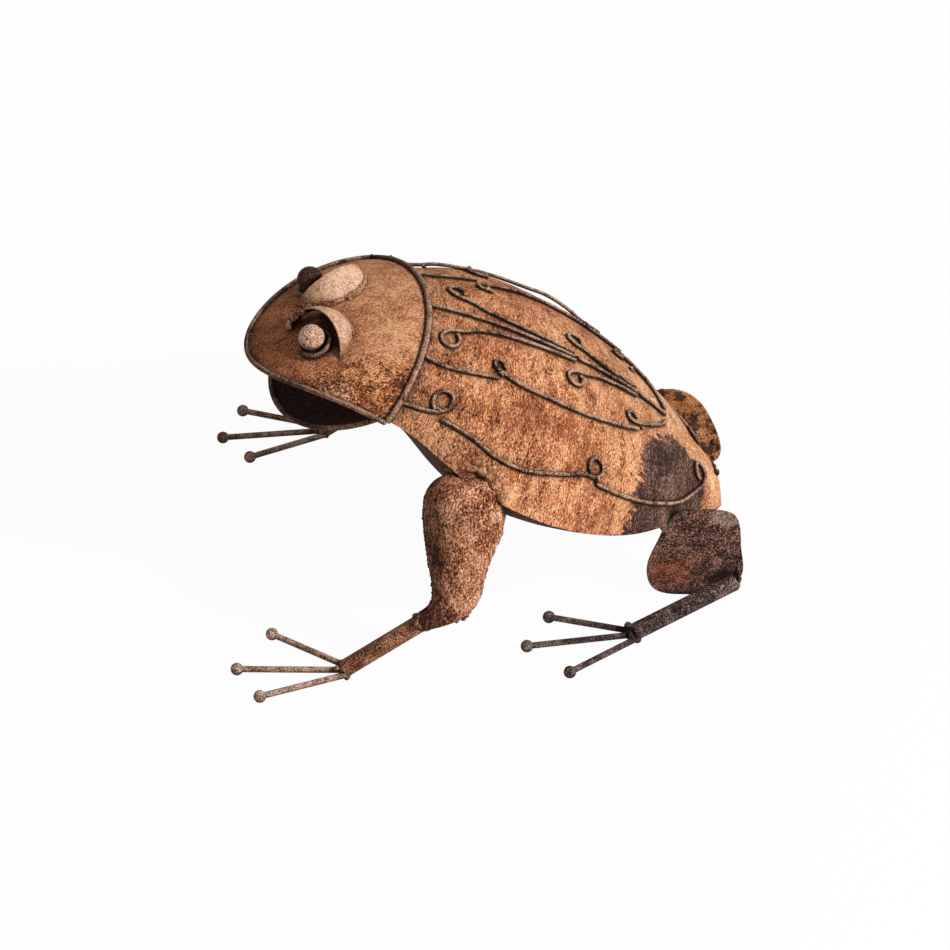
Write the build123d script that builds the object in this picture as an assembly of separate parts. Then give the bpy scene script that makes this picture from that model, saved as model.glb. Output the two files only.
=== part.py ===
# Garden frog of welded sheet iron: two domed shells, scrolled wire on the back, sheet legs and rod toes.
# Head towards -Y, the frog's left side towards +X, ground at Z = 0. Millimetres.
import os
from math import asin, cos, degrees, radians, sin, sqrt

from build123d import *

os.makedirs("parts", exist_ok=True)

# Stock sizes
SHEET = 1.6
SCROLL_WIRE = 3.0
EDGE_WIRE = 4.0
COLLAR_WIRE = 5.0
TOE_ROD = 5.0
TOE_BALL = 10.0
LEG_TUBE = 14.0
EYE_BALL = 20.0
EYE_RING_WIRE = 3.8
EYE_RING_RADIUS = 11.6
FIT_UP = 0.25
TUBE_PLUG = 10.0
ARM_CLEAR = 0.7

# Rim of the back shell: a flat rim that slopes from the neck down to the tail
RIM_NECK = Vector(0, -77.5, 217.8)
RIM_TAIL = Vector(0, 193.8, 48.8)
ACROSS = Vector(1, 0, 0)
ALONG = (RIM_TAIL - RIM_NECK).normalized()
OUT = ACROSS.cross(ALONG)

# Back shell: distance along the rim from the neck, height of the spine above the rim, half width at the rim
BACK_SECTIONS = (
    (-8, 41.2, 94),
    (50, 52.5, 117),
    (100, 56.3, 138),
    (150, 55.6, 138),
    (200, 50.0, 122),
    (250, 36.5, 88),
    (290, 18.8, 51),
    (319, 3.0, 26),
)

# Belly pan: distance along the rim, depth below the rim, half width at the rim
BELLY_SECTIONS = (
    (50, 46.5, 117),
    (100, 64, 138),
    (150, 61, 138),
    (200, 48, 122),
    (250, 32, 88),
    (290, 17, 51),
    (319, 3.0, 26),
)

# Head: a spherical dish with a parabolic outline
HEAD_RADIUS = 158.0
COLLAR_RADIUS = 124.8
COLLAR_CHORD = 99.0
NOSE_Y = -177.0
NOSE_FOCUS = 96.0
HEAD_RIM_POINTS = (-98, -77, -57, -38, -18, 0, 18, 38, 57, 77, 98)
COLLAR_RISE = Vector(0, 38.6, 30.5).normalized()
COLLAR_NORMAL = Vector(0, -COLLAR_RISE.Z, COLLAR_RISE.Y)
COLLAR_CENTRE = RIM_NECK - COLLAR_RISE * sqrt(COLLAR_RADIUS**2 - COLLAR_CHORD**2)
HEAD_CENTRE = COLLAR_CENTRE - COLLAR_NORMAL * sqrt(HEAD_RADIUS**2 - COLLAR_RADIUS**2)
COLLAR_LIFT = 1.0
HEAD_RIM_LIFT = 1.4

# Lower jaw: a dished half disc, welded open
JAW_OPEN = 25.0
JAW_RADIUS = 92.5
JAW_DEPTH = 18.0
JAW_HINGE = Vector(0, -78.0, 216.0)

# Eyes and eyelids, as plan positions on the head
LEFT_EYE = (31.5, -126.5)
RIGHT_EYE = (35.5, -125.0)
# Each lid: plan position, radius of its cap, depth of the cap's centre, outward turn and upward lean of its mouth
LEFT_LID = (26.6, -127.0, 30.2, 7.7, 38.0, 23.0)
RIGHT_LID = (35.6, -113.6, 28.3, 4.4, 57.0, 24.5)

# Upper arm: centre of each cross section, half width, half thickness, forward tilt of the section
LEFT_ARM_TOP = (
    ((127.0, -18.5, 183.0), 17.0, 8.0, 0),
    ((128.0, -19.5, 176.0), 27.5, 14.0, 0),
    ((129.0, -20.5, 155.0), 31.5, 17.0, 0),
)
RIGHT_ARM_TOP = (
    ((123.0, -17.5, 168.0), 14.0, 8.0, 0),
    ((124.0, -18.5, 161.5), 24.5, 13.0, 0),
    ((127.0, -20.5, 147.0), 30.5, 16.5, 0),
)
ARM_SECTIONS = (
    ((131.0, -22.5, 120.0), 28.0, 16.5, 0),
    ((135.5, -26.0, 92.0), 21.5, 14.5, 4),
    ((138.5, -28.5, 71.5), 18.5, 12.5, 20),
    ((141.5, -39.0, 58.5), 12.5, 10.5, 42),
)
ARM_END = Vector(142.5, -53.0, 51.0)
ARM_END_TILT = 58.0
ARM_END_LIP = 1.2
LEFT_WRIST = Vector(147.6, -115.0, 9.0)
RIGHT_WRIST = Vector(136.5, -119.0, 9.0)

# Thigh plate and shin
THIGH_CENTRE = Vector(78, 168, 47)
THIGH_TILT = 3.0
THIGH_DISH = 260.0
LEFT_THIGH = ((-26, 32), (-34, 6), (-39.5, -18), (-31.5, -40.5), (-8, -46), (24, -43), (34.5, -34), (35, 2), (29, 33), (6, 41))
RIGHT_THIGH = ((-31, 31), (-35, 6), (-39.5, -18), (-31.5, -40.5), (-8, -46), (37, -35), (30.5, 3), (14, 32.5), (-12, 44))
KNEE_SEAT = (30, -28.5)
ANKLE = Vector(125.0, 112.5, 9.0)

# Toe ball centres in plan, measured out from the frog's middle: inner, middle, outer
BALL_FLAT = 0.2
LEFT_FRONT_TOES = ((101.3, -170.8), (138.2, -199.3), (169.4, -182.3))
RIGHT_FRONT_TOES = ((110.1, -182.6), (136.3, -204.5), (169.4, -187.0))
REAR_TOES = ((98.1, 48.8), (129.4, 28.7), (160.5, 59.7))

# Scroll wires on the back. Stem points are distance along the rim, distance from the spine, lift off the shell.
# A curl is its centre in the same two distances, its radius, its start angle and its turn.
LEFT_SCROLLS = {
    "flank_scroll_front": (((7, 84, 0), (20, 85.5, 0), (31, 87, 0)), (36.5, 80, 7, 84, -320)),
    "flank_scroll_middle": (
        ((39, 92, 0), (65, 103, 0), (85, 112, 0), (105, 115, 0), (139, 108, 0), (161, 99.5, 0)),
        (169.5, 91, 6.5, 68, -305),
    ),
    "flank_scroll_rear": (
        ((172.5, 101.5, 0), (192, 98.5, 0), (219, 90, 0), (242, 77.5, 0), (265, 60.5, 0), (280, 43, 0)),
        (285.5, 22, 7, 36, -300),
    ),
    "side_scroll_front": (((17, 50.6, 0), (28, 54, 0), (48, 56.2, 0), (63, 55.6, 0), (75, 54.4, 0)), None),
    "side_scroll_middle": (
        ((206, 39.5, 0), (174, 50.4, 0), (142, 55.4, 0), (116, 55.2, 0), (93, 53.5, 0), (81, 50, 0)),
        (75, 42.5, 4.2, 122, 265),
    ),
    "side_scroll_rear": (((240, 6.5, 0), (230, 19, 0), (216, 28.5, 0), (207, 33.5, 0)), (199.5, 31, 4.2, 75, 275)),
    "neck_scroll": (
        ((144, 4.6, 0), (119, 6.3, 0), (95, 8.6, 0), (74, 11, 0), (55.5, 15.4, 0), (43, 21, 0)),
        (34, 30.5, 7.2, -107, -300),
    ),
    "rump_scroll": (((206, 4.6, 0), (188, 6.6, 0), (166.5, 10, 0), (152, 15, 0)), (143, 24.5, 6.6, -104, -300)),
}
RIGHT_SCROLLS = {
    "flank_scroll_front": (((8, 86, 0), (28, 91, 0.5), (50, 97, 1), (70, 99.5, 0)), (79, 92, 7, 84, -320)),
    "flank_scroll_middle": (
        ((83, 104, 0), (104, 111, 0), (128, 111, 1), (148, 106.5, 3), (166, 100, 2), (178, 95.5, 0)),
        (186.5, 87, 6.5, 68, -305),
    ),
    "flank_scroll_rear": (
        ((190, 97.5, 0), (204, 95.5, 0), (222, 88.5, 0), (242, 77.5, 0), (265, 60.5, 0), (280, 43, 0)),
        (285.5, 22, 7, 36, -300),
    ),
    "side_scroll_front": (((15, 47, 0), (28, 51, 0), (46, 57, 0), (58, 61, 0), (68, 64, 0)), None),
    "side_scroll_middle": (
        ((205, 58, 0), (181, 67, 0), (150, 74, 0), (124, 74.5, 0), (98, 69, 0), (79, 61, 0)),
        (70.5, 52.5, 4.2, 122, 265),
    ),
    "side_scroll_rear": (((240, 6.5, 0), (231, 27, 0), (217, 41, 0), (207, 48.5, 0)), (198.5, 47, 4.2, 80, 275)),
    "neck_scroll": (
        ((144, 4.6, 0), (114, 6.6, 0), (90, 8.8, 0), (68, 12.3, 0), (52, 19, 0)),
        (43.4, 28.7, 6.2, -110, -300),
    ),
    "rump_scroll": (((206, 4.6, 0), (186, 6, 0), (168, 10.5, 0), (157, 16, 0)), (148, 25, 6.2, -110, -300)),
}
SPINE_STATIONS = (19, 50, 90, 130, 170, 205, 240)


def bow_radius(half, rise):
    return (half * half + rise * rise) / (2 * rise)


def station(s):
    return Plane(origin=RIM_NECK + ALONG * s, x_dir=-ACROSS, z_dir=ALONG)


def crescent(s, crown, radius, side, sheet):
    # Strip of sheet bowed to a radius; side is +1 for a strip that arches up and -1 for one that hangs down
    reach = radians(60)
    centre = crown - side * radius
    inner = radius - sheet

    def at(r, angle):
        return (r * sin(angle), centre + side * r * cos(angle))

    edges = [
        ThreePointArc(at(radius, -reach), at(radius, 0), at(radius, reach)),
        Line(at(radius, reach), at(inner, reach)),
        ThreePointArc(at(inner, reach), at(inner, 0), at(inner, -reach)),
        Line(at(inner, -reach), at(radius, -reach)),
    ]
    return station(s) * make_face(edges)


def lens(s, crown, radius, side):
    # The same bow filled in to its chord
    reach = radians(60)
    centre = crown - side * radius
    left = (-radius * sin(reach), centre + side * radius * cos(reach))
    right = (radius * sin(reach), centre + side * radius * cos(reach))
    return station(s) * make_face([ThreePointArc(left, (0, crown), right), Line(right, left)])


def back_rows():
    return [(s, rise, bow_radius(half, rise)) for s, rise, half in BACK_SECTIONS]


jaw_up = Vector(0, -sin(radians(JAW_OPEN)), cos(radians(JAW_OPEN)))
jaw_bow = bow_radius(JAW_RADIUS, JAW_DEPTH)
jaw_centre = JAW_HINGE + jaw_up * (jaw_bow - JAW_DEPTH)


def belly_rows():
    # The pan starts at the throat with the section of the jaw's dish there
    reach = jaw_centre - RIM_NECK
    throat = sqrt(jaw_bow**2 - reach.dot(ALONG) ** 2)
    rows = [(s, -depth, bow_radius(half, depth)) for s, depth, half in BELLY_SECTIONS]
    return [(0, reach.dot(OUT) - throat, throat)] + rows


RIM_PLANE = Plane(origin=RIM_NECK, x_dir=-ACROSS, z_dir=OUT)
COLLAR_PLANE = Plane(origin=RIM_NECK, x_dir=ACROSS, z_dir=COLLAR_NORMAL)
THROAT_PLANE = Plane(origin=RIM_NECK, x_dir=-ACROSS, z_dir=ALONG)


def above(shape, plane, clear=0.0):
    return split(shape, bisect_by=plane.offset(clear), keep=Keep.TOP)


def below(shape, plane, clear=0.0):
    return split(shape, bisect_by=plane.offset(-clear), keep=Keep.BOTTOM)


# Bent wire
def arc_or_line(start, end, heading):
    chord = end - start
    if heading.cross(chord.normalized()).length < 2e-3:
        return Line(start, end)
    return TangentArc(start, end, tangent=heading)


def headings(points):
    # Direction of the wire at each point, from its neighbours
    out = []
    for i in range(1, len(points) - 1):
        a = points[i] - points[i - 1]
        b = points[i + 1] - points[i]
        out.append((a.normalized() * b.length + b.normalized() * a.length).normalized())
    first = (points[1] - points[0]).normalized()
    last = (points[-1] - points[-2]).normalized()
    return [(first * 2 * first.dot(out[0]) - out[0]).normalized()] + out + [(last * 2 * last.dot(out[-1]) - out[-1])]


def smooth_path(points, ways):
    # Two tangent arcs between each pair of points
    edges = []
    for a, b, ta, tb in zip(points, points[1:], ways, ways[1:]):
        v = b - a
        t = ta + tb
        bend = 2 * (1 - ta.dot(tb))
        if bend < 1e-6:
            d = v.dot(v) / (2 * v.dot(t))
        else:
            d = (-v.dot(t) + sqrt(v.dot(t) ** 2 + bend * v.dot(v))) / bend
        pa = a + ta * d
        pb = b - tb * d
        joint = (pa + pb) * 0.5
        edges.append(arc_or_line(a, joint, ta))
        edges.append(arc_or_line(joint, b, (pb - pa).normalized()))
    return Wire([e.edge() for e in edges])


def bent_wire(points, diameter, ways=None):
    path = smooth_path(points, ways or headings(points))
    section = Plane(origin=path @ 0, z_dir=path % 0) * Circle(diameter / 2)
    return sweep(section, path=path)


def arc_wire(plane, radius, start, size, diameter):
    path = plane * CenterArc((0, 0), radius, start, size)
    section = Plane(origin=path @ 0, z_dir=path % 0) * Circle(diameter / 2)
    return sweep(section, path=path)


def rod(start, end, diameter):
    plane = Plane(origin=start, z_dir=end - start)
    return plane * Cylinder(diameter / 2, (end - start).length, align=(Align.CENTER, Align.CENTER, Align.MIN))


# Body shells
def collar_wire(diameter):
    radius = COLLAR_RADIUS + COLLAR_LIFT
    plane = Plane(origin=COLLAR_CENTRE, x_dir=COLLAR_RISE, z_dir=COLLAR_NORMAL)
    half = degrees(asin(COLLAR_CHORD / radius))
    return arc_wire(plane, radius, -half, 2 * half, diameter)


neck_collar = collar_wire(COLLAR_WIRE)
collar_room = collar_wire(COLLAR_WIRE + 2 * FIT_UP)

back_blank = loft([crescent(s, crown, r, 1, SHEET) for s, crown, r in back_rows()])
back_shell = below(above(back_blank, RIM_PLANE), COLLAR_PLANE, COLLAR_WIRE / 2) - collar_room

belly_blank = loft([crescent(s, crown, r, -1, SHEET) for s, crown, r in belly_rows()])
belly_pan = above(below(belly_blank, RIM_PLANE, FIT_UP), THROAT_PLANE, FIT_UP)

back_body = above(loft([lens(s, crown + FIT_UP, r + FIT_UP, 1) for s, crown, r in back_rows()]), RIM_PLANE, -1)
belly_body = below(loft([lens(s, crown - FIT_UP, r + FIT_UP, -1) for s, crown, r in belly_rows()]), RIM_PLANE, -1)


# Head
def head_ball(radius):
    return Pos(*HEAD_CENTRE) * Sphere(radius)


def head_surface(x, y, lift=0.0):
    d = Vector(x, y - HEAD_CENTRE.Y, 0)
    up = sqrt(HEAD_RADIUS**2 - d.length**2)
    normal = Vector(d.X, d.Y, up).normalized()
    return HEAD_CENTRE + normal * (HEAD_RADIUS + lift), normal


def head_outline():
    depth = 152.0
    half = sqrt(NOSE_FOCUS * depth)
    back = NOSE_Y + depth
    curve = Bezier((-half, back), (0, NOSE_Y - depth), (half, back))
    foot = Plane.XY.offset(HEAD_CENTRE.Z)
    return extrude(foot * make_face([curve, Line((half, back), (-half, back))]), HEAD_RADIUS + SHEET)


def head_edge(x):
    # Centre of the wire that lies along the upper edge of the head plate
    y = NOSE_Y + x * x / NOSE_FOCUS
    point, normal = head_surface(x, y, HEAD_RIM_LIFT)
    slope = 2 * x / NOSE_FOCUS
    d = point - HEAD_CENTRE
    run = Vector(1, slope, -(d.X + d.Y * slope) / d.Z).normalized()
    room = sqrt((EDGE_WIRE / 2 + FIT_UP) ** 2 - HEAD_RIM_LIFT**2)
    return point + run.cross(normal) * room, run


head_dish = head_ball(HEAD_RADIUS) - head_ball(HEAD_RADIUS - SHEET)
rim_points, rim_ways = zip(*[head_edge(x) for x in HEAD_RIM_POINTS])
rim_room = bent_wire(rim_points, EDGE_WIRE + 2 * FIT_UP, rim_ways)
head_shell = above(head_dish & head_outline(), COLLAR_PLANE, COLLAR_WIRE / 4) - collar_room - rim_room
head_rim_wire = bent_wire(rim_points, EDGE_WIRE, rim_ways) - collar_room

jaw_fore = Vector(0, -cos(radians(JAW_OPEN)), -sin(radians(JAW_OPEN)))
JAW_PLANE = Plane(origin=JAW_HINGE, x_dir=jaw_fore, z_dir=jaw_up)
jaw_dish = Pos(*jaw_centre) * Sphere(jaw_bow) - Pos(*jaw_centre) * Sphere(jaw_bow - SHEET)
lower_jaw = below(below(jaw_dish, JAW_PLANE), THROAT_PLANE, FIT_UP)
jaw_rim_wire = arc_wire(
    JAW_PLANE.offset(EDGE_WIRE / 2 + FIT_UP), JAW_RADIUS - SHEET / 2, -87, 174, EDGE_WIRE
)

# Eyes and eyelids, worked out on the left side
def eye_ball(place):
    seat, up = head_surface(*place)
    ball = Pos(*(seat + up * (EYE_BALL / 2 - 0.6))) * Sphere(EYE_BALL / 2)
    return ball - head_ball(HEAD_RADIUS + FIT_UP)


def eye_ring(place):
    seat, up = head_surface(*place)
    return Plane(origin=seat + up * (EYE_RING_WIRE / 2), z_dir=up) * Torus(EYE_RING_RADIUS, EYE_RING_WIRE / 2)


def eyelid(x, y, radius, sink, turn, lean):
    # Cap of sheet standing on the head, cut open over the eye and straight along the frog's middle
    seat, up = head_surface(x, y)
    ball = Pos(*(seat - up * sink))
    face = Vector(sin(radians(turn)), -cos(radians(turn)), 0)
    mouth = Plane(origin=seat, z_dir=face * cos(radians(lean)) + Vector(0, 0, sin(radians(lean))))
    room = 4 * radius
    cap = ball * Sphere(radius) - mouth * Pos(0, 0, room / 2) * Box(room, room, room)
    cap -= Pos(FIT_UP - room / 2, seat.Y, seat.Z) * Box(room, room, room)
    return cap - head_ball(HEAD_RADIUS + FIT_UP) - ball * Sphere(radius - SHEET)


# Scroll wires
def on_back(s, x, lift):
    # Centre of a scroll wire that lies on the back shell
    foot = RIM_NECK + ALONG * s + ACROSS * x - OUT * 2
    hits = back_blank.find_intersection_points(Axis(foot, OUT))
    point, normal = max(hits, key=lambda hit: (hit[0] - foot).dot(OUT))
    if normal.dot(OUT) < 0:
        normal = -normal
    return point + normal * (SCROLL_WIRE / 2 + FIT_UP + lift)


def scroll(stem, curl, side):
    flat = list(stem)
    if curl:
        cs, cx, r, start, turn = curl
        steps = 5
        for i in range(steps + 1):
            a = radians(start + turn * i / steps)
            flat.append((cs + r * cos(a), cx + r * sin(a), 0))
    return bent_wire([on_back(s, side * x, lift) for s, x, lift in flat], SCROLL_WIRE) - collar_room


# Legs, worked out for the left side
def arm_blank(sections, less):
    end = LEG_TUBE / 2 + ARM_END_LIP
    faces = []
    for centre, half, thick, tilt in sections + ((ARM_END, end, end, ARM_END_TILT),):
        t = radians(tilt)
        plane = Plane(origin=centre, x_dir=(0, cos(t), -sin(t)), z_dir=(0, -sin(t), -cos(t)))
        faces.append(plane * Ellipse(half - less, thick - less))
    return loft(faces)


def upper_arm(top, side):
    # One of the two pressed halves, closed at the top and trimmed to the body, with the offcuts left out
    sections = top + ARM_SECTIONS
    start = Vector(*top[0][0])
    seam = Plane(origin=start, z_dir=Vector(0, 1, 0).cross(ARM_END - start))
    sheet = arm_blank(sections, 0) - arm_blank(sections[1:], SHEET) - back_body - belly_body
    return max(side(sheet, seam, FIT_UP / 2).solids(), key=lambda half: half.volume)


def leg_tube(start, end, plug):
    # Tube with both ends closed over a length
    run = (end - start).normalized()
    return rod(start, end, LEG_TUBE) - rod(start + run * plug, end - run * plug, LEG_TUBE - 2 * SHEET)


def forearm(wrist):
    run = (wrist - ARM_END).normalized()
    return leg_tube(ARM_END + run * ARM_CLEAR, wrist, TUBE_PLUG)


thigh_out = Vector(cos(radians(THIGH_TILT)), 0, sin(radians(THIGH_TILT)))
thigh_plane = Plane(origin=THIGH_CENTRE, x_dir=(0, 1, 0), z_dir=thigh_out)
knee_sag = THIGH_DISH - sqrt(THIGH_DISH**2 - KNEE_SEAT[0] ** 2 - KNEE_SEAT[1] ** 2)
KNEE = thigh_plane.from_local_coords(Vector(*KNEE_SEAT, LEG_TUBE / 2 + FIT_UP - knee_sag))
shin = leg_tube(KNEE, ANKLE, TUBE_PLUG)
thigh_ball = Pos(*(THIGH_CENTRE - thigh_out * THIGH_DISH))
thigh_dish = thigh_ball * Sphere(THIGH_DISH) - thigh_ball * Sphere(THIGH_DISH - SHEET)
shin_room = rod(KNEE, ANKLE, LEG_TUBE + 2 * FIT_UP)


def thigh_plate(outline):
    # Dished plate cut to the outline and fitted round the body and the shin
    shape = make_face(Spline(*outline, periodic=True))
    plate = thigh_dish & extrude(thigh_plane * shape, 30, both=True)
    return plate - shin_room - back_body - belly_body


def foot(start, end, toes):
    # Three rods side by side at the end of the leg, each with a ball at its tip
    balls = []
    rods = []
    run = (end - start).normalized()
    level = Vector(run.X, run.Y, 0).normalized()
    beside = Vector(-level.Y, level.X, 0)
    leg = rod(start, end, LEG_TUBE + 2 * FIT_UP)
    middle = (len(toes) - 1) / 2
    for i, (x, y) in enumerate(toes):
        tip = Vector(x, y, TOE_BALL / 2 - BALL_FLAT)
        root = end + beside * ((i - middle) * (TOE_ROD + FIT_UP))
        root = Vector(root.X, root.Y, end.Z - LEG_TUBE / 2 + TOE_ROD)
        room = Pos(*tip) * Sphere(TOE_BALL / 2 + FIT_UP)
        rods.append(rod(root, tip, TOE_ROD) - room - leg)
        balls.append(above(Pos(*tip) * Sphere(TOE_BALL / 2), Plane.XY))
    return rods, balls


left_rods, left_balls = foot(ARM_END, LEFT_WRIST, LEFT_FRONT_TOES)
right_rods, right_balls = foot(ARM_END, RIGHT_WRIST, RIGHT_FRONT_TOES)
rear_rods, rear_balls = foot(KNEE, ANKLE, REAR_TOES)

# The assembly
nodes = {
    "back_shell": back_shell,
    "belly_pan": belly_pan,
    "neck_collar": neck_collar,
    "head_shell": head_shell,
    "head_rim_wire": head_rim_wire,
    "lower_jaw": lower_jaw,
    "jaw_rim_wire": jaw_rim_wire,
    "spine_wire": bent_wire([on_back(s, 0, 0) for s in SPINE_STATIONS], SCROLL_WIRE) - collar_room,
}
for name, (stem, curl) in LEFT_SCROLLS.items():
    nodes["left_" + name] = scroll(stem, curl, 1)
for name, (stem, curl) in RIGHT_SCROLLS.items():
    nodes["right_" + name] = scroll(stem, curl, -1)

both_sides = {
    "shin": shin,
    "rear_toe_balls": Compound(children=rear_balls),
}
left_only = {
    "eye_ball": eye_ball(LEFT_EYE),
    "eye_ring": eye_ring(LEFT_EYE),
    "eyelid": eyelid(*LEFT_LID),
    "upper_arm_outer": upper_arm(LEFT_ARM_TOP, above),
    "upper_arm_inner": upper_arm(LEFT_ARM_TOP, below),
    "forearm": forearm(LEFT_WRIST),
    "front_toe_balls": Compound(children=left_balls),
    "thigh_plate": thigh_plate(LEFT_THIGH),
}
right_only = {
    "eye_ball": eye_ball(RIGHT_EYE),
    "eye_ring": eye_ring(RIGHT_EYE),
    "eyelid": eyelid(*RIGHT_LID),
    "upper_arm_outer": upper_arm(RIGHT_ARM_TOP, above),
    "upper_arm_inner": upper_arm(RIGHT_ARM_TOP, below),
    "forearm": forearm(RIGHT_WRIST),
    "front_toe_balls": Compound(children=right_balls),
    "thigh_plate": thigh_plate(RIGHT_THIGH),
}
for toe, left, right, rear in zip(("inner", "middle", "outer"), left_rods, right_rods, rear_rods):
    left_only["front_toe_" + toe] = left
    right_only["front_toe_" + toe] = right
    both_sides["rear_toe_" + toe] = rear
for name, shape in {**both_sides, **left_only}.items():
    nodes["left_" + name] = shape
for name, shape in {**both_sides, **right_only}.items():
    nodes["right_" + name] = mirror(shape, about=Plane.YZ)

# Origin under the middle of the figure
boxes = [shape.bounding_box() for shape in nodes.values()]
middle_y = (min(b.min.Y for b in boxes) + max(b.max.Y for b in boxes)) / 2
for name, shape in nodes.items():
    export_step(Pos(0, -middle_y, 0) * shape, f"parts/{name}.step")
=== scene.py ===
"""Looks of a welded garden frog of rusted sheet iron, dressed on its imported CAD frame."""

import math
import random

import bmesh
import bpy
from mathutils import Matrix, Vector, noise


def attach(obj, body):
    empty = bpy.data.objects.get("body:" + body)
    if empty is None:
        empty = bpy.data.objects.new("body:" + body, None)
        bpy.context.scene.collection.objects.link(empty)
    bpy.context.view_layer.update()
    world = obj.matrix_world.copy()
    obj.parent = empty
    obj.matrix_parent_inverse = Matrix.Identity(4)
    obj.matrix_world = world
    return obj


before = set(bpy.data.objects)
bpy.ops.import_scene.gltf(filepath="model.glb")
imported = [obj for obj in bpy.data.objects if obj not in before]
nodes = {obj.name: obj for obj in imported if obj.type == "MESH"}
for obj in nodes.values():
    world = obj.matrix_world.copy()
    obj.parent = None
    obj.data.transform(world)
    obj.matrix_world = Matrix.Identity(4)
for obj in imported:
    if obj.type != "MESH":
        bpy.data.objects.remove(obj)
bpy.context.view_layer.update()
scene = bpy.context.scene
random.seed(11)

# Places and sizes are in millimetres, apart from the camera's and the studio's. This turns them to metres
MM = 0.001

# Slope of the back's rim, and the shift that makes a place along it count from the neck
BACK_SLOPE = math.radians(31.9)
NECK_STATION = 179.8

# Ball that the head plate is part of, and the parabola of its outline, as deep as half its width
HEAD_CENTRE = Vector((0.0, -75.7, 94.66))
HEAD_RADIUS = 158.0
HEAD_HALF_WIDTH = 96
NOSE = -175.6

# Each lid: plan place, radius of its cap, depth of its centre, outward turn and upward lean of its mouth
NEAR_LID = (26.6, -125.6, 30.2, 7.7, math.radians(38), math.radians(23))
FAR_LID = (35.6, -112.2, 28.3, 4.4, math.radians(57), math.radians(24.5))

# Patterns that all the rust shares: clouds of weather, blotches, and stains along the scale
CLOUD_SIZE = 45
STAIN_SIZE = 9
BLOTCH_SIZE = 8

# Way that the worn tops with their painted highlight face, and how near to each other pieces gather grime and
# painted shade
RUBBED_AND_LIT_SIDE = (0.25, 0.45, 0.86)
GRIME_AND_SHADE_REACH = 10


def on_head(x, y, lift=0.0):
    # Place on the head's ball over a plan place, lifted off it by so much
    away = Vector((x, y - HEAD_CENTRE.y, 0))
    up = Vector((away.x, away.y, math.sqrt(HEAD_RADIUS**2 - away.length_squared)))
    return HEAD_CENTRE + up.normalized() * (HEAD_RADIUS + lift)


# Colours and shader nodes
def colour(code):
    # Linear colour of a six digit sRGB code
    parts = [int(code[i : i + 2], 16) / 255 for i in (0, 2, 4)]
    return tuple(c / 12.92 if c <= 0.04045 else ((c + 0.055) / 1.055) ** 2.4 for c in parts) + (1.0,)


def add(tree, kind, inputs, **settings):
    # One shader node with its settings, values and links, given back as its outputs
    item = tree.nodes.new("ShaderNode" + kind)
    for name, value in settings.items():
        setattr(item, name, value)
    for key, value in inputs.items():
        if isinstance(value, bpy.types.NodeSocket):
            tree.links.new(value, item.inputs[key])
        else:
            item.inputs[key].default_value = value
    return item.outputs


class Skin:
    """Node tree of a rusted skin, with places in millimetres and the ways that its scale is drawn out."""

    def __init__(self, name):
        self.material = bpy.data.materials.new(name)
        self.material.use_nodes = True
        self.tree = tree = self.material.node_tree
        tree.nodes.clear()
        spot = add(tree, "TexCoord", {})["Object"]
        self.place = add(tree, "VectorMath", {0: spot, "Scale": 1 / MM}, operation="SCALE")[0]
        self.x, self.y, self.z = add(tree, "SeparateXYZ", {0: self.place})
        laid = add(tree, "Mapping", {"Vector": self.place, "Rotation": (BACK_SLOPE, 0, 0)})[0]
        self.station = add(tree, "Math", {0: add(tree, "SeparateXYZ", {0: laid})[1], 1: NECK_STATION})[0]
        self.runs = {
            "girth": add(tree, "VectorMath", {0: laid, 1: (0.45, 1.0, 0.45)}, operation="MULTIPLY")[0],
            "length": add(tree, "VectorMath", {0: laid, 1: (1.0, 0.4, 1.0)}, operation="MULTIPLY")[0],
            "plumb": add(tree, "VectorMath", {0: self.place, 1: (1.0, 1.0, 0.45)}, operation="MULTIPLY")[0],
            "none": self.place,
        }
        blotches = {"Vector": self.place, "Scale": 1 / BLOTCH_SIZE, "Detail": 5.0, "Roughness": 0.7}
        self.blotches = add(tree, "TexNoise", blotches)[0]

    def past(self, value, low, high, ragged, most=1.0, teeth=None):
        # Rises from none at low to most at high, with an edge that wanders by about that many millimetres
        tree = self.tree
        wander = {0: teeth or self.blotches, 1: 4 * ragged, 2: -2 * ragged}
        drift = add(tree, "Math", wander, operation="MULTIPLY_ADD")[0]
        value = add(tree, "Math", {0: value, 1: drift})[0]
        ends = {"Value": value, "From Min": low, "From Max": high, "To Max": most}
        return add(tree, "MapRange", ends, interpolation_type="SMOOTHSTEP")[0]

    def within(self, centre, radii, ragged, most=1.0, soft=0.3):
        # Most inside an egg-shaped place, with a soft edge that wanders by that share of its radii
        tree = self.tree
        away = add(tree, "VectorMath", {0: self.place, 1: centre}, operation="SUBTRACT")[0]
        away = add(tree, "VectorMath", {0: away, 1: radii}, operation="DIVIDE")[0]
        reach = add(tree, "VectorMath", {0: away}, operation="LENGTH")["Value"]
        wander = {0: self.blotches, 1: 3 * ragged, 2: -1.5 * ragged}
        drift = add(tree, "Math", wander, operation="MULTIPLY_ADD")[0]
        reach = add(tree, "Math", {0: reach, 1: drift})[0]
        ends = {"Value": reach, "From Min": 1 + soft, "From Max": 1 - soft, "To Max": most}
        return add(tree, "MapRange", ends, interpolation_type="SMOOTHSTEP")[0]

    def red_blotches(self):
        # Strongest inside the blotches
        red = {"Value": self.blotches, "From Min": 0.5, "From Max": 0.6, "To Max": 0.6}
        return add(self.tree, "MapRange", red)[0]


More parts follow.
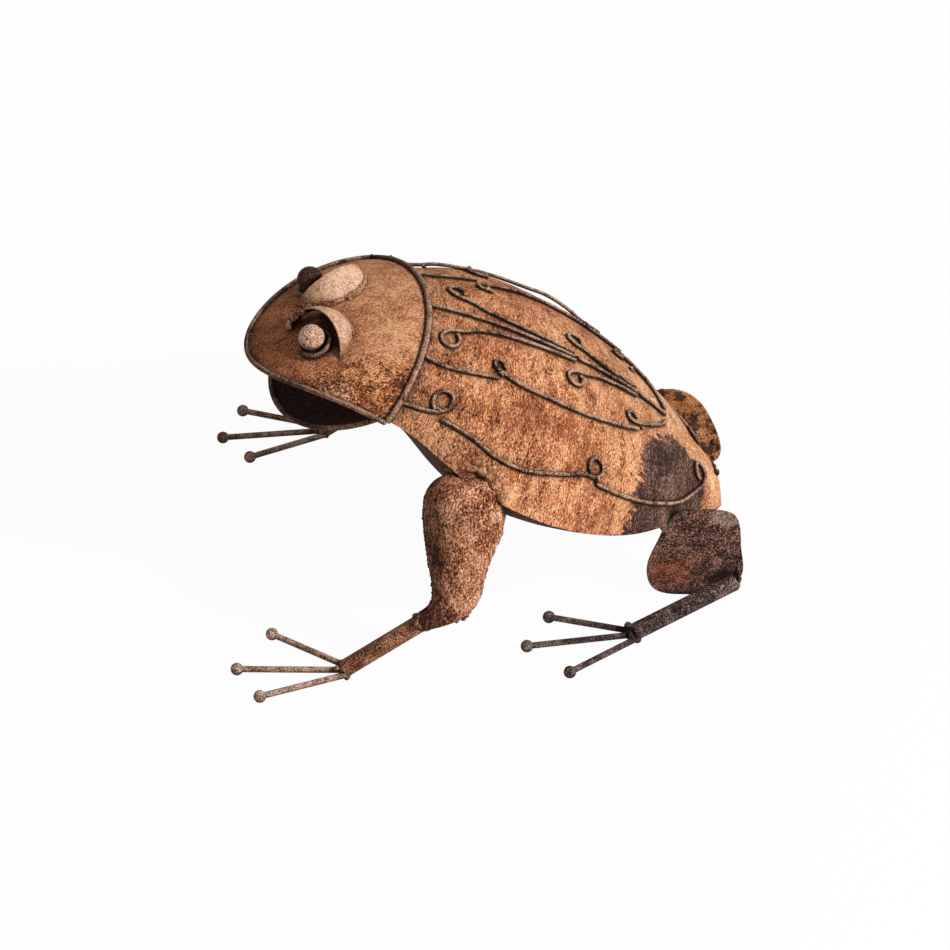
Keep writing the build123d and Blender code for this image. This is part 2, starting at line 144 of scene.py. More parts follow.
def rust(name, tones, pit, grain=0.95, pits=0.5, run="girth", zones=None, grime_and_shade=0.85, depth=2.0, rubbed_and_lit=None):
    """Rust on iron: three tones of scale over clouds and stains, pits, cracks, and grime with painted shade
    in corners.

    The oxide is matt and no longer a metal, so the shader has a rough skin with little gloss. Real scale is
    a few tenths of a millimetre and is drawn about three times as coarse, so that it shows at this distance.

    The tones are pale, middle and dark, and pit is the colour of pits and cracks. The grain is the scale's
    size and pits says how many there are. The scale is drawn out along run. The zones paint places in other
    tones. The last three give the most grime and painted shade that corners take, the depth of the bump, and
    the colour of tops that are worn and lit with a painted highlight.
    """
    skin = Skin(name)
    tree = skin.tree
    along = skin.runs[run]
    clouds = {"Vector": skin.place, "Scale": 1 / CLOUD_SIZE, "Detail": 4.0, "Roughness": 0.6}
    clouds = add(tree, "TexNoise", clouds)[0]
    stains = {"Vector": along, "Scale": 1 / STAIN_SIZE, "Detail": 5.0, "Roughness": 0.7}
    stains = add(tree, "TexNoise", stains)[0]
    fine = {"Vector": along, "Detail": 2.0, "Roughness": 0.6}
    scale = add(tree, "TexNoise", {**fine, "Scale": 1 / grain, "Distortion": 0.5})[0]
    holes = add(tree, "TexNoise", {**fine, "Scale": 1 / (1.3 * grain), "Distortion": 0.9})[0]
    seams = add(tree, "TexNoise", {**fine, "Scale": 1 / (3.2 * grain), "Distortion": 0.7})[0]

    # Tones of the scale, changed in the painted places
    tone = add(tree, "Math", {0: clouds, 1: 0.5, 2: scale}, operation="MULTIPLY_ADD")[0]
    tone = add(tree, "Math", {0: stains, 1: 0.45, 2: tone}, operation="MULTIPLY_ADD")[0]
    shades = [colour(code) for code in tones]
    crowd = add(tree, "Math", {0: stains, 1: -0.55, 2: 0.275}, operation="MULTIPLY_ADD")[0]
    for mask, more, *codes in zones(skin) if zones else ():
        pairs = zip(shades, codes)
        shades = [add(tree, "Mix", {0: mask, 6: a, 7: colour(b)}, data_type="RGBA")[2] for a, b in pairs]
        crowd = add(tree, "Math", {0: mask, 1: more, 2: crowd}, operation="MULTIPLY_ADD")[0]
    middle = {"Value": tone, "From Min": 0.855, "From Max": 0.945}
    middle = add(tree, "MapRange", middle, interpolation_type="SMOOTHSTEP")[0]
    paint = add(tree, "Mix", {0: middle, 6: shades[2], 7: shades[1]}, data_type="RGBA")[2]
    flecks = {"Value": tone, "From Min": 1.005, "From Max": 1.08}
    flecks = add(tree, "MapRange", flecks, interpolation_type="SMOOTHSTEP")[0]
    paint = add(tree, "Mix", {0: flecks, 6: paint, 7: shades[0]}, data_type="RGBA")[2]

    # Tops that hands and weather rub pale, turned towards the lamp's side, so that they are also a painted
    # highlight
    if rubbed_and_lit:
        normal = add(tree, "NewGeometry", {})["Normal"]
        facing = add(tree, "VectorMath", {0: normal, 1: RUBBED_AND_LIT_SIDE}, operation="DOT_PRODUCT")["Value"]
        facing = add(tree, "MapRange", {"Value": facing, "From Min": 0.45, "From Max": 0.95})[0]
        bare_and_lit = {"Value": tone, "From Min": 0.875, "From Max": 1.055, "To Max": 0.9}
        bare_and_lit = add(tree, "Math", {0: facing, 1: add(tree, "MapRange", bare_and_lit)[0]}, operation="MULTIPLY")[0]
        paint = add(tree, "Mix", {0: bare_and_lit, 6: paint, 7: colour(rubbed_and_lit)}, data_type="RGBA")[2]

    # Pits, and short cracks where the scale lifts
    sunk = add(tree, "Math", {0: holes, 1: crowd}, operation="SUBTRACT")[0]
    cut = 0.3 + 0.14 * pits
    pitted = {"Value": sunk, "From Min": cut + 0.015, "From Max": cut - 0.035, "To Max": 0.95}
    pitted = add(tree, "MapRange", pitted, interpolation_type="SMOOTHSTEP")[0]
    paint = add(tree, "Mix", {0: pitted, 6: paint, 7: colour(pit)}, data_type="RGBA")[2]
    line = add(tree, "Math", {0: seams, 1: 0.5}, operation="PINGPONG")[0]
    line = add(tree, "Math", {0: holes, 1: -0.25, 2: line}, operation="MULTIPLY_ADD")[0]
    line = add(tree, "Math", {0: crowd, 1: 0.15, 2: line}, operation="MULTIPLY_ADD")[0]
    cracks = {"Value": line, "From Min": 0.345, "From Max": 0.375, "To Max": 0.1 + 0.7 * pits}
    cracks = add(tree, "MapRange", cracks, interpolation_type="SMOOTHSTEP")[0]
    paint = add(tree, "Mix", {0: cracks, 6: paint, 7: colour(pit)}, data_type="RGBA")[2]

    # Grime and painted shade where pieces meet and in hollows
    corner = add(tree, "AmbientOcclusion", {"Distance": GRIME_AND_SHADE_REACH * MM}, samples=8)["AO"]
    corner = {"Value": corner, "From Min": 0.95, "From Max": 0.58, "To Max": grime_and_shade}
    corner = add(tree, "MapRange", corner, interpolation_type="SMOOTHSTEP")[0]
    paint = add(tree, "Mix", {0: corner, 6: paint, 7: colour("1A0F0A")}, data_type="RGBA")[2]

    # Lumps of the scale, with the pits and cracks sunk into it
    height = add(tree, "Math", {0: stains, 1: 0.8, 2: scale}, operation="MULTIPLY_ADD")[0]
    height = add(tree, "Math", {0: pitted, 1: -0.25, 2: height}, operation="MULTIPLY_ADD")[0]
    height = add(tree, "Math", {0: cracks, 1: -0.35, 2: height}, operation="MULTIPLY_ADD")[0]
    bump = add(tree, "Bump", {"Strength": 1.0, "Distance": depth * MM, "Height": height})[0]
    matt = {"Value": stains, "From Min": 0.3, "From Max": 0.7, "To Min": 0.68, "To Max": 0.86}
    matt = add(tree, "MapRange", matt)[0]
    values = {"Base Color": paint, "Roughness": matt, "Specular IOR Level": 0.12, "Normal": bump}
    shader = add(tree, "BsdfPrincipled", values)[0]
    add(tree, "OutputMaterial", {"Surface": shader})
    return skin.material


# Painted places of the larger sheets: mask, extra pits, and the three tones there
def back_places(skin):
    tree = skin.tree
    # Paler tail and browner neck
    yield skin.past(skin.station, 120, 210, ragged=20, most=0.8), -0.02, "F2B88C", "CC885A", "925838"
    yield skin.past(skin.station, 62, 12, ragged=12, most=0.7), 0.05, "DCA07A", "B87852", "784830"
    # Redder blotches all over, and a pale strip beside the spine near the tail
    yield skin.red_blotches(), 0.02, "F8B282", "C86E42", "80422A"
    ridge = skin.past(skin.x, 40, 12, ragged=6, most=0.65)
    behind = skin.past(skin.station, 150, 200, ragged=10)
    ridge = add(tree, "Math", {0: ridge, 1: behind}, operation="MULTIPLY")[0]
    yield ridge, -0.03, "FFD2A8", "E6A476", "A86E4A"
    # Browner rim over the near arm
    rim = skin.past(skin.x, 96, 116, ragged=8, most=0.75)
    before = skin.past(skin.station, 110, 60, ragged=8)
    rim = add(tree, "Math", {0: rim, 1: before}, operation="MULTIPLY")[0]
    yield rim, 0.06, "D49874", "A26848", "5C382A"
    # Soot of the torch by the near thigh, with teeth along the scale
    teeth = add(tree, "VectorMath", {0: skin.runs["length"], 1: (1.0, 0.7, 1.0)}, operation="MULTIPLY")[0]
    teeth = add(tree, "TexNoise", {"Vector": teeth, "Scale": 1 / 4, "Detail": 3.0, "Roughness": 0.6})[0]
    lean = add(tree, "Math", {0: skin.station, 1: 0.83, 2: skin.x}, operation="MULTIPLY_ADD")[0]
    soot = skin.past(skin.station, 212, 216, ragged=13, most=0.98, teeth=teeth)
    for edge in (
        skin.past(lean, 219, 225, ragged=8, teeth=teeth),
        skin.past(skin.x, 14, 18, ragged=4, teeth=teeth),
        skin.past(skin.station, 298, 292, ragged=4, teeth=teeth),
    ):
        soot = add(tree, "Math", {0: soot, 1: edge}, operation="MULTIPLY")[0]
    yield soot, -0.02, "92705F", "47302B", "221513"


def head_places(skin):
    tree = skin.tree
    # Burnt snout and crusty near cheek
    yield skin.past(skin.y, -116, -140, ragged=10, most=0.85), 0.04, "D88C5C", "A05A36", "5A2E1C"
    yield skin.past(skin.x, 44, 66, ragged=9, most=0.9), 0.14, "FFBE86", "B05E32", "32180F"
    # Painted shade under the near lid's hood
    hood = skin.within(on_head(25, -114), (19, 15, 15), ragged=0.15, most=0.92)
    yield hood, 0.1, "3A2218", "22130C", "120906"
    # Scratches down to pale iron on the near cheek
    streak = add(tree, "TexNoise", {"Vector": skin.runs["length"], "Scale": 1 / 2.4, "Detail": 2.0})[0]
    streak = add(tree, "MapRange", {"Value": streak, "From Min": 0.55, "From Max": 0.6})[0]
    cheek = skin.within((75, -112, 228), (9, 13, 10), ragged=0.5, most=0.9)
    scraped = add(tree, "Math", {0: cheek, 1: streak}, operation="MULTIPLY")[0]
    yield scraped, -0.2, "F6E2D2", "E8C8B0", "CC9878"


def lid_places(skin):
    # Browner foot
    yield skin.past(skin.z, 253, 246, ragged=3, most=0.7), 0.05, "D89C6E", "B87448", "7C4A30"
    # Painted shade in the hollow under each lid
    for (x, y, radius, sink, *mouth), side in ((NEAR_LID, 1), (FAR_LID, -1)):
        seat = on_head(side * x, y)
        centre = seat - (seat - HEAD_CENTRE).normalized() * sink
        away = add(skin.tree, "VectorMath", {0: skin.place, 1: centre}, operation="DISTANCE")["Value"]
        hollow = {"Value": away, "From Min": radius - 0.6, "From Max": radius - 1.2}
        yield add(skin.tree, "MapRange", hollow)[0], 0.0, "2A1810", "180C08", "0C0604"


def eye_places(skin):
    # Brown below
    yield skin.past(skin.z, 252, 245, ragged=2.5, most=0.9), 0.06, "A06646", "6C3D27", "361D14"


def arm_places(skin):
    # Redder blotches, and a dark front edge, which is painted shade on the side away from the lamp
    yield skin.red_blotches(), 0.0, "F0B088", "B0623C", "5A2E20"
    yield skin.past(skin.y, -27, -43, ragged=5, most=0.95), 0.07, "AC7254", "683A27", "301911"


def near_thigh_places(skin):
    tree = skin.tree
    # Red rust low on the plate, and pale ash at its top
    blot = add(tree, "TexNoise", {"Vector": skin.place, "Scale": 1 / 5, "Detail": 4.0, "Roughness": 0.7})[0]
    blot = add(tree, "MapRange", {"Value": blot, "From Min": 0.42, "From Max": 0.54})[0]
    low = skin.within((78, 147, 28), (30, 18, 16), ragged=0.9, most=0.9, soft=0.6)
    yield add(tree, "Math", {0: low, 1: blot}, operation="MULTIPLY")[0], 0.02, "CC7A50", "944A30", "4C261A"
    yield skin.within((78, 192, 80), (30, 14, 10), ragged=0.5), 0.0, "C4A898", "967468", "665048"


def far_thigh_places(skin):
    # Dark blots
    blot = {"Vector": skin.place, "Scale": 1 / 13, "Detail": 5.0, "Roughness": 0.65, "Distortion": 0.5}
    blot = add(skin.tree, "TexNoise", blot)[0]
    blot = add(skin.tree, "MapRange", {"Value": blot, "From Min": 0.49, "From Max": 0.55, "To Max": 0.9})[0]
    yield blot, 0.03, "66402C", "36201A", "1C100C"


# Mild steel sheet, dished with a hammer and left out in the rain: a matt orange crust with dark pits and
# cracks drawn out the way the sheet was rolled, browner at the neck, sooty where the torch was
back_sheet = rust(
    "rusted_back_sheet", ("FFC694", "D6865A", "8E5236"), pit="381C12",
    grain=0.95, pits=0.5, run="girth", zones=back_places, depth=1.8,
)
# The same sheet, rubbed smoother on top: soft tan clouds, a burnt snout and a crusty cheek
head_sheet = rust(
    "rusted_head_sheet", ("EAB286", "C6845C", "94583A"), pit="4A2818",
    grain=1.0, pits=0.18, run="length", zones=head_places, depth=1.1,
)
# Thin sheet beaten into caps: dusty pale outside, with painted shade inside
lid_sheet = rust(
    "rusted_lid_sheet", ("FADABF", "E4B290", "B67A56"), pit="5C3828",
    grain=0.95, pits=0.12, run="none", zones=lid_places, depth=1.2,
)
# Sheet of the underside: dark brown oxide, darkened further as painted shade under the body
belly_sheet = rust(
    "rusted_and_shaded_belly_sheet", ("6C4632", "482A1E", "2A1913"), pit="180D09", grain=1.1, pits=0.5,
)
# Sheet of the jaw, in the head's shade: a red brown that is nearly black
jaw_sheet = rust(
    "rusted_jaw_sheet", ("5C3324", "2A150E", "160A07"), pit="0A0403", grain=1.1, pits=0.4,
)
# Pressed halves with heavy scale: strong specks of orange, brown and nearly black
arm_sheet = rust(
    "rusted_arm_sheet", ("FFCCA6", "C47850", "5E3222"), pit="22100A",
    grain=1.15, pits=0.58, run="plumb", zones=arm_places, depth=1.8,
)
# Plate cut with a torch: dark grey brown, with pale ash at the top and red rust below
near_thigh_sheet = rust(
    "dark_thigh_sheet", ("AA7C6A", "52352D", "281814"), pit="120A08",
    grain=1.5, pits=0.5, run="none", zones=near_thigh_places,
)
# The same plate on the far side: orange rust with dark blots
far_thigh_sheet = rust(
    "blotched_thigh_sheet", ("FFC08C", "D6864E", "824A2C"), pit="26130D",
    grain=1.2, pits=0.45, run="none", zones=far_thigh_places,
)
# Thin drawn wire: rusted dark, and rubbed pale along its top with a painted highlight
ornament_wire = rust(
    "worn_and_highlit_ornament_wire", ("BE8E70", "704530", "302019"), pit="180E0A",
    grain=0.9, pits=0.5, run="none", grime_and_shade=0.75, depth=1.0, rubbed_and_lit="DAB49A",
)
# Heavier drawn wire: a little darker, and rubbed pale with a painted highlight too
edge_wire = rust(
    "worn_and_highlit_edge_wire", ("B4866A", "643D2D", "2E1D17"), pit="180E0A",
    grain=0.9, pits=0.5, run="none", grime_and_shade=0.75, depth=1.0, rubbed_and_lit="D4AC90",
)
# Drawn tube of the front legs: brown scale with orange specks
front_tube = rust(
    "rusted_front_tube", ("E6AE8A", "9C5E40", "4A2B1E"), pit="20120B", grain=0.95, pits=0.6, run="none",
)
# Drawn tube of the rear legs, nearer to the torch: ashy and dark
rear_tube = rust(
    "sooty_rear_tube", ("A88E84", "523C36", "281B19"), pit="140B0A", grain=1.2, pits=0.55, run="none",
)
# Drawn rod of the front toes: brown, and rubbed pale on top with a painted highlight
front_rod = rust(
    "rusted_front_rod", ("E6C2AC", "A6745A", "5A382A"), pit="2C1A12",
    grain=0.9, pits=0.6, run="none", grime_and_shade=0.8, depth=0.9, rubbed_and_lit="E8CCBA",
)
# Drawn rod of the rear toes: grey brown with soot
rear_rod = rust(
    "sooty_rear_rod", ("9C8880", "54413B", "302421"), pit="1A1210",
    grain=0.9, pits=0.5, run="none", grime_and_shade=0.8, depth=0.9,
)
# Forged ball: pale, and brown towards the bottom
near_eye = rust(
    "pale_eye_ball", ("F2D0B8", "CA987A", "885A3E"), pit="3C2216",
    grain=1.5, pits=0.3, run="none", zones=eye_places, grime_and_shade=0.8, depth=1.0,
)
# Forged ball in the far lid's shade: dark all over
far_eye = rust(
    "dark_eye_ball", ("7C584A", "4A2E25", "2A1A15"), pit="180E0A",
    grain=1.2, pits=0.45, run="none", grime_and_shade=0.6, depth=1.0,
)
# Weld metal, put down by hand in overlapping drops: lumpy and brown, rubbed pale on top with a painted
# highlight
weld_scale = rust(
    "weld_scale", ("DCA884", "945C40", "4A2B1F"), pit="26150E",
    grain=0.9, pits=0.6, run="none", grime_and_shade=0.85, depth=1.0, rubbed_and_lit="D8B298",
)
# Weld metal in ribs: paler, with less grime and painted shade
rib_weld = rust(
    "ribbed_weld_scale", ("F0CDB0", "B07A56", "4A2B1F"), pit="26150E",
    grain=0.9, pits=0.3, run="none", grime_and_shade=0.6, depth=0.8,
)
# Weld metal at the shoulders and the far lid: orange like the sheet that it joins
shoulder_weld = rust(
    "shoulder_weld_scale", ("FFC69C", "CC8558", "7C4A32"), pit="341E14",
    grain=0.9, pits=0.5, run="none", grime_and_shade=0.4,
)
# Weld metal under soot: grey brown
weld_soot = rust(
    "sooty_weld_scale", ("94746C", "4E3934", "2A1D1A"), pit="160D0B",
    grain=0.9, pits=0.58, run="none", grime_and_shade=0.85, depth=1.0,
)

# Finish of each CAD piece by a word in its name, and the edge wire's for the others
LOOKS = {
    "back_shell": back_sheet,
    "belly_pan": belly_sheet,
    "head_shell": head_sheet,
    "lower_jaw": jaw_sheet,
    "eyelid": lid_sheet,
    "left_eye_ball": near_eye,
    "right_eye_ball": far_eye,
    "upper_arm": arm_sheet,
    "forearm": front_tube,
    "front_toe": front_rod,
    "left_thigh_plate": near_thigh_sheet,
    "right_thigh_plate": far_thigh_sheet,
    "shin": rear_tube,
    "rear_toe": rear_rod,
    "scroll": ornament_wire,
    "spine": ornament_wire,
}
for name, item in nodes.items():
    look = next((paint for word, paint in LOOKS.items() if word in name), edge_wire)
    item.data.materials.clear()
    item.data.materials.append(look)


# Weld metal: rows of drops, melted together and roughened by coarse and fine waves, counted to the metre
COARSE_WAVES = 420
FINE_WAVES = 1100
ball = bmesh.new()
bmesh.ops.create_icosphere(ball, subdivisions=2, radius=1.0)
DROP_POINTS = [vertex.co.copy() for vertex in ball.verts]
DROP_FACES = [[vertex.index for vertex in face.verts] for face in ball.faces]
ball.free()


def weld(name, drops, paint, fine=0.55):
    # One piece of weld metal from drops, each a place and a radius, melted as fine as that many millimetres
    points = []
    faces = []
    # Each drop is squashed, turned and shifted a little
    for spot, radius in drops:
        shape = [radius * random.uniform(0.8, 1.2) for axis in range(3)]
        turn = Matrix.Rotation(random.uniform(0, 6.28), 4, (random.random(), random.random(), 0.5))
        shift = Vector([random.uniform(-0.3, 0.3) * radius for axis in range(3)])
        place = Matrix.Translation((Vector(spot) + shift) * MM) @ turn
        place = place @ Matrix.Diagonal([r * MM for r in shape] + [1.0])
        faces += [[len(points) + corner for corner in face] for face in DROP_FACES]
        points += [place @ point for point in DROP_POINTS]
    raw = bpy.data.meshes.new(name + "_drops")
    raw.from_pydata(points, [], faces)
    item = bpy.data.objects.new(name, raw)
    scene.collection.objects.link(item)
    # The drops melt into one skin
    melt = item.modifiers.new("melt", "REMESH")
    melt.mode = "VOXEL"
    melt.voxel_size = fine * MM
    melt.use_smooth_shade = True
    bpy.context.view_layer.update()
    mesh = bpy.data.meshes.new_from_object(item.evaluated_get(bpy.context.evaluated_depsgraph_get()))
    item.modifiers.clear()
    item.data = mesh
    bpy.data.meshes.remove(raw)
    mesh.name = name
    # The skin is roughened by less than a millimetre
    moved = []
    for vertex in mesh.vertices:
        bump = noise.noise(vertex.co * COARSE_WAVES) * 0.5 + noise.noise(vertex.co * FINE_WAVES) * 0.25
        moved.extend(vertex.co + vertex.normal * (bump * MM))
    mesh.vertices.foreach_set("co", moved)
    mesh.update()
    mesh.materials.clear()
    mesh.materials.append(paint)
    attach(item, "root")


def in_mm(item):
    # Points of a CAD piece
    return [item.matrix_world @ v.co / MM for v in item.data.vertices]


def on_side(side, places):
    # Places of the left side, kept for 1 or mirrored to the right for -1
    return [(side * x, y, z) for x, y, z in places]


def sized(spots, small, large):
    # Drops at these places, each with a radius between small and large
    return [(spot, random.uniform(small, large)) for spot in spots]


def run_of(ends, apart):
    # Evenly spaced places along a run of straight lines
    spots = []
    for a, b in zip(ends, ends[1:]):
        count = max(1, round((Vector(b) - Vector(a)).length / apart))
        spots += [Vector(a).lerp(Vector(b), i / count) for i in range(count)]
    return spots


def lid_foot(x, y, radius, sink, turn, lean, side, apart):
    # Where an eyelid's sheet meets the head
    seat = on_head(x, y)
    up = (seat - HEAD_CENTRE).normalized()
    gap = HEAD_RADIUS - sink
    rise = (gap**2 + HEAD_RADIUS**2 - radius**2) / (2 * gap)
    ring = math.sqrt(HEAD_RADIUS**2 - rise**2)
    first = up.orthogonal().normalized()
    second = up.cross(first)
    face = Vector((math.sin(turn) * math.cos(lean), -math.cos(turn) * math.cos(lean), math.sin(lean)))
    count = round(2 * math.pi * ring / apart)
    spots = []
    for i in range(count):
        a = 2 * math.pi * i / count
        spot = HEAD_CENTRE + up * rise + (first * math.cos(a) + second * math.sin(a)) * ring
        if (spot - seat).dot(face) < 0 and spot.x > 0.5:
            spots.append(Vector((side * spot.x, spot.y, spot.z)))
    return spots


# Eyelids: bead along each foot, a ribbed bead in front of the near lid, and a smear behind the far lid,
# where its end is torn, along plan places on the head
RIBS = (
    (7.5, -145, 239.5), (5.6, -143, 242.5), (4.6, -140.6, 245.7),
    (4.2, -138.2, 248.9), (5.6, -135.8, 252.3), (8, -133.4, 255.5),
)
TORN_END = ((-9, -97), (-13, -92), (-19, -88), (-25, -86), (-31, -85), (-36, -86))
near_foot = lid_foot(*NEAR_LID, side=1, apart=1.5)
far_foot = lid_foot(*FAR_LID, side=-1, apart=1.1)
weld("near_lid_bead", sized(near_foot, 0.6, 1.5), lid_sheet, fine=0.45)
smear = [spot + (spot - HEAD_CENTRE).normalized() * 0.5 for spot in far_foot]
weld("far_lid_bead", sized(smear, 1.4, 2.3), shoulder_weld, fine=0.45)
weld("near_lid_ribs", [(spot, 2.5) for spot in RIBS], rib_weld, fine=0.35)
torn = run_of([on_head(x, y, lift=0.4) for x, y in TORN_END], apart=1.4)
weld("far_lid_torn_end", sized(torn, 1.0, 2.3), shoulder_weld, fine=0.45)

# Head and collar: blobs where the edge wires meet, a bead under the rim wire, and tacks on the scrolls
CORNER = ((96, -82, 221.5), (99, -79.5, 220), (101, -76.5, 219), (98, -75, 222))
TACKS = (
    (85.2, -61.5, 230.5), (47.9, -45, 244), (-1.7, -37.5, 250.5), (-49.7, -37.5, 238.5),
    (-85.2, -61.5, 230.5), (34.6, 125.3, 146), (49.8, 14, 219.9), (99.8, 84.9, 152.4),
    (86, -36.4, 218.5), (1, 78, 191), (1.3, 107, 169),
    (-34.6, 125.3, 146), (-49.8, 14, 219.9), (-99.8, 84.9, 152.4), (-86, -36.4, 218.5),
)
TACK_STEPS = ((0, 0, 0), (1.2, 1.4, -0.5))
for end, side, large in (("near", 1, 2.6), ("far", -1, 1.9)):
    blobs = on_side(side, CORNER)
    weld(end + "_corner_blob", sized(blobs, 1.4, large), edge_wire)
across_head = range(-HEAD_HALF_WIDTH, HEAD_HALF_WIDTH + 1, 4)
rim = [on_head(x, x * x / HEAD_HALF_WIDTH + NOSE, lift=-0.4) for x in across_head]
weld("head_rim_bead", sized(run_of(rim, apart=1.1), 0.8, 1.1), edge_wire, fine=0.4)
tacks = [Vector(spot) + Vector(step) for spot in TACKS for step in TACK_STEPS]
weld("scroll_tacks", sized(tacks, 1.2, 1.9), weld_scale, fine=0.4)

# Front legs: the arm's line on the back, the top of its seam, the elbow, the knob behind it and the wrist
SHOULDER = {
    "left": ((115, -31, 183), (119, -20, 188.5), (122.7, -7, 187), (131, 3, 181.5), (137.5, 9.5, 168.5)),
    "right": ((-116, -31, 179), (-121, -20, 180.5), (-126, -8, 178.5), (-133, 3, 173), (-137.5, 9.5, 165)),
}
SEAM_TOPS = {"left": (127.0, -17.1, 183.0), "right": (-123.0, -16.1, 168.0)}
ELBOWS = {"left": (142.5, -51.6, 51.0), "right": (-142.5, -51.6, 51.0)}
KNOB = ((140, -17.5, 56), (140.5, -18.5, 52.5), (141, -21.5, 50), (141.5, -26, 48.5))
WRISTS = {"left": (147.6, -113.6, 9.0), "right": (-136.5, -117.6, 9.0)}

# Rear legs: the line where the thigh meets the back, the shin's seat on the thigh, and the ankle
THIGH_TOP = ((81, 140, 79), (77.5, 146.5, 82), (74, 153, 85), (72.5, 160, 87))
SHIN_SEAT = ((75.5, 203, 29), (77, 203.5, 22), (80, 203, 16.5), (86, 201.5, 14))
ANKLES = {"left": (125.0, 113.9, 9.0), "right": (-125.0, 113.9, 9.0)}

# Least height of a lump's centre, which keeps it clear of the floor
LUMP_HEIGHT = 4.6

# Points this near to the plane of an arm's seam are on its edge, and are taken in rows of this height
EDGE_REACH = 0.6
ROW_HEIGHT = 4


def seam_runs(label, top, elbow):
    # Front and rear edges where an arm's two pressed halves meet, from the elbow up
    across = Vector((0, 1, 0)).cross(elbow - top).normalized()
    outer = in_mm(nodes[label + "_upper_arm_outer"])
    rows = {}
    for spot in outer:
        if abs((spot - top).dot(across)) < EDGE_REACH:
            rows.setdefault(round(spot.z / ROW_HEIGHT), []).append(spot)
    rows = [row for level, row in sorted(rows.items())]
    front = [min(row, key=lambda spot: spot.y) for row in rows]
    rear = [max(row, key=lambda spot: spot.y) for row in rows]
    return run_of(front, apart=1.2) + run_of(rear, apart=1.2)


def ways_around(along):
    # Ways out from a tube's middle line, all round it
    across = along.orthogonal().normalized()
    return [Matrix.Rotation(math.radians(a), 3, along) @ across for a in range(0, 360, 15)]


def joint_blob(middle, along, toes):
    # Lumps around a tube's end and over the roots of its toes
    ring = ways_around(along)[::2]
    spots = [middle + along * random.uniform(-2, 4.5) + out * random.uniform(3.5, 7.5) for out in ring]
    for toe in ("inner", "middle", "outer"):
        root = min(in_mm(nodes[toes + toe]), key=lambda spot: (spot - middle).length)
        spots += [root, root.lerp(middle, 0.3), root.lerp(middle, 0.6)]
    spots = [Vector((spot.x, spot.y, max(spot.z, LUMP_HEIGHT))) for spot in spots]
    return sized(spots, 2.0, 3.2)


# Front legs: bead at the back, beads along the arm's seam, ring and lumps at the elbow, lumps at the wrist
for label, side in (("left", 1), ("right", -1)):
    elbow = Vector(ELBOWS[label])
    wrist = Vector(WRISTS[label])
    along = (wrist - elbow).normalized()
    shoulder = run_of(SHOULDER[label], apart=1.9)
    weld(label + "_shoulder_bead", sized(shoulder, 2.2, 4.2), shoulder_weld)
    seam = seam_runs(label, Vector(SEAM_TOPS[label]), elbow)
    weld(label + "_arm_seam", sized(seam, 0.6, 0.85), arm_sheet, fine=0.4)
    ring = ways_around(along)
    sleeve = [elbow + along * random.uniform(-1.5, 4.5) + out * random.uniform(6.0, 7.2) for out in ring]
    weld(label + "_elbow_sleeve", sized(sleeve, 1.7, 2.5), weld_scale)
    weld(label + "_elbow_lumps", sized(on_side(side, KNOB), 1.8, 2.8), weld_scale)
    lumps = joint_blob(wrist, along, label + "_front_toe_")
    weld(label + "_wrist_blob", lumps, weld_scale)

# Rear legs: bead along the thigh's top, bead along the shin's seat and lumps at the ankle
for label, side, paint in (("left", 1, weld_soot), ("right", -1, weld_scale)):
    top = run_of(on_side(side, THIGH_TOP), apart=2.0)
    weld(label + "_thigh_bead", sized(top, 1.6, 3.0), paint, fine=0.5)
    seat = on_side(side, SHIN_SEAT)
    weld(label + "_knee_bead", sized(run_of(seat, apart=2.0), 1.4, 2.6), paint, fine=0.5)
    ankle = Vector(ANKLES[label])
    along = (ankle - Vector(seat[-1])).normalized()
    lumps = joint_blob(ankle, along, label + "_rear_toe_")
    weld(label + "_ankle_blob", lumps, weld_soot)

# Tail: lumps where the back, the belly and the spine wire run out
TAIL = ((-24, 191.5, 53), (-12, 193.5, 56), (-2, 194, 57))
weld("tail_lumps", sized(run_of(TAIL, apart=3.0), 1.8, 3.0), weld_soot)


# Camera at the photograph's angle, in metres
AZIMUTH = math.radians(85.8)
ELEVATION = math.radians(42.0)
DISTANCE = 2.85
TARGET = Vector((0.0, -0.0014, 0.0716))
level = Vector((math.sin(AZIMUTH), -math.cos(AZIMUTH), 0))
back = level * math.cos(ELEVATION) + Vector((0, 0, math.sin(ELEVATION)))
camera = bpy.data.objects.new("camera", bpy.data.cameras.new("camera"))
camera.data.lens = 135.0
camera.data.sensor_width = 36.0
camera.location = TARGET + back * DISTANCE
camera.rotation_euler = back.to_track_quat("Z", "Y").to_euler()
scene.collection.objects.link(camera)
scene.camera = camera


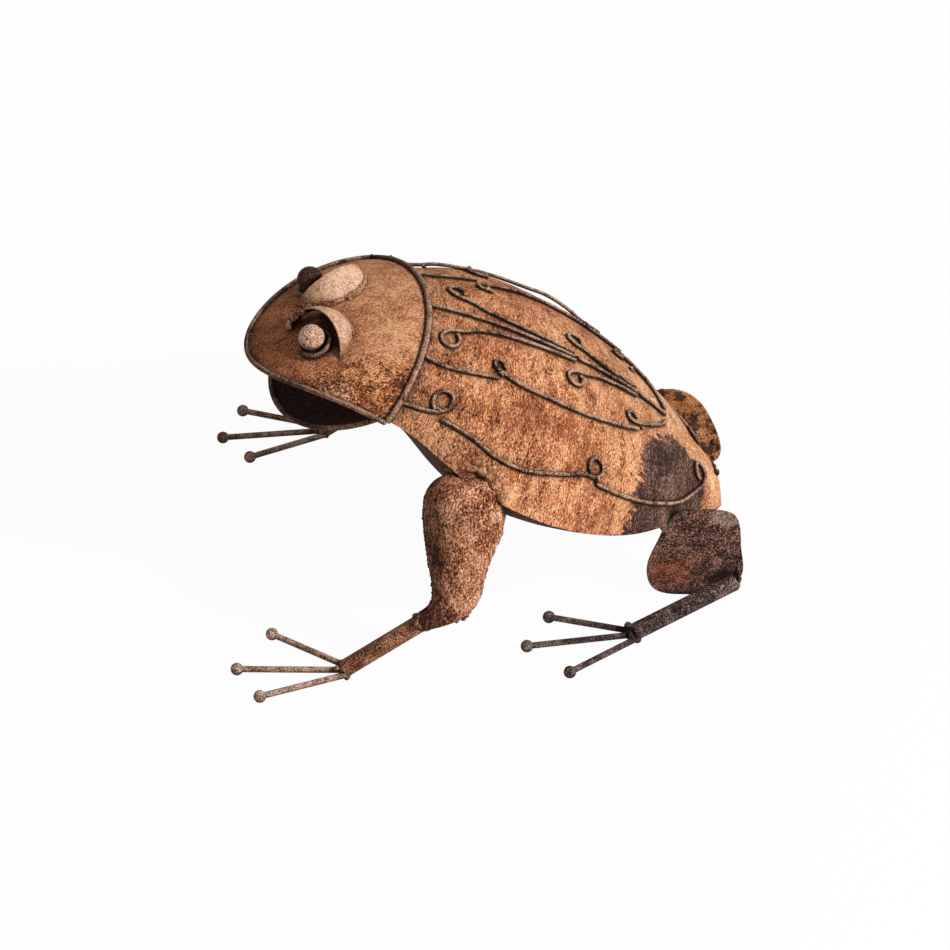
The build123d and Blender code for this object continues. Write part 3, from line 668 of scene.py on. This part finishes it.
# Pale floor, soft studio light and a white background, in metres and watts
def lamp(name, spot, size, power):
    light = bpy.data.lights.new(name, "AREA")
    light.shape = "DISK"
    light.size = size
    light.energy = power
    item = bpy.data.objects.new(name, light)
    item.location = spot
    item.rotation_euler = (Vector(spot) - TARGET).to_track_quat("Z", "Y").to_euler()
    scene.collection.objects.link(item)


lamp("key", (0.85, 1.6, 1.6), size=0.35, power=54.0)
lamp("fill", (1.6, -1.6, 1.3), size=1.6, power=4.0)


def direct_rays(tree, share):
    # That share for rays that show the background itself: in view, in gloss or through glass
    path = add(tree, "LightPath", {})
    rays = add(tree, "Math", {0: path["Is Camera Ray"], 1: path["Is Glossy Ray"]}, operation="MAXIMUM")[0]
    rays = add(tree, "Math", {0: rays, 1: path["Is Transmission Ray"]}, operation="MAXIMUM")[0]
    return add(tree, "Math", {0: rays, 1: share}, operation="MULTIPLY")[0]


world = bpy.data.worlds.new("studio")
scene.world = world
world.use_nodes = True
sky = world.node_tree
sky.nodes.clear()
ambient = add(sky, "Background", {"Color": colour("FFFEFC"), "Strength": 0.28})[0]
white = add(sky, "Background", {"Color": colour("FFFFFF"), "Strength": 1.0})[0]
shown = add(sky, "MixShader", {0: direct_rays(sky, 1.0), 1: ambient, 2: white})[0]
add(sky, "OutputWorld", {"Surface": shown})

# Matt paper under the frog: white in view, and it keeps a soft shadow
floor_paper = bpy.data.materials.new("pale_floor")
floor_paper.use_nodes = True
ground = floor_paper.node_tree
ground.nodes.clear()
matt = add(ground, "BsdfDiffuse", {"Color": colour("E7E7E7")})[0]
glow = add(ground, "Emission", {"Color": colour("FFFFFF"), "Strength": 1.0})[0]
shown = add(ground, "MixShader", {0: direct_rays(ground, 0.96), 1: matt, 2: glow})[0]
add(ground, "OutputMaterial", {"Surface": shown})
sheet = bmesh.new()
bmesh.ops.create_grid(sheet, x_segments=1, y_segments=1, size=6.0)
floor_mesh = bpy.data.meshes.new("floor")
sheet.to_mesh(floor_mesh)
sheet.free()
floor_mesh.materials.append(floor_paper)
floor = bpy.data.objects.new("floor", floor_mesh)
scene.collection.objects.link(floor)

scene.view_settings.view_transform = "Standard"
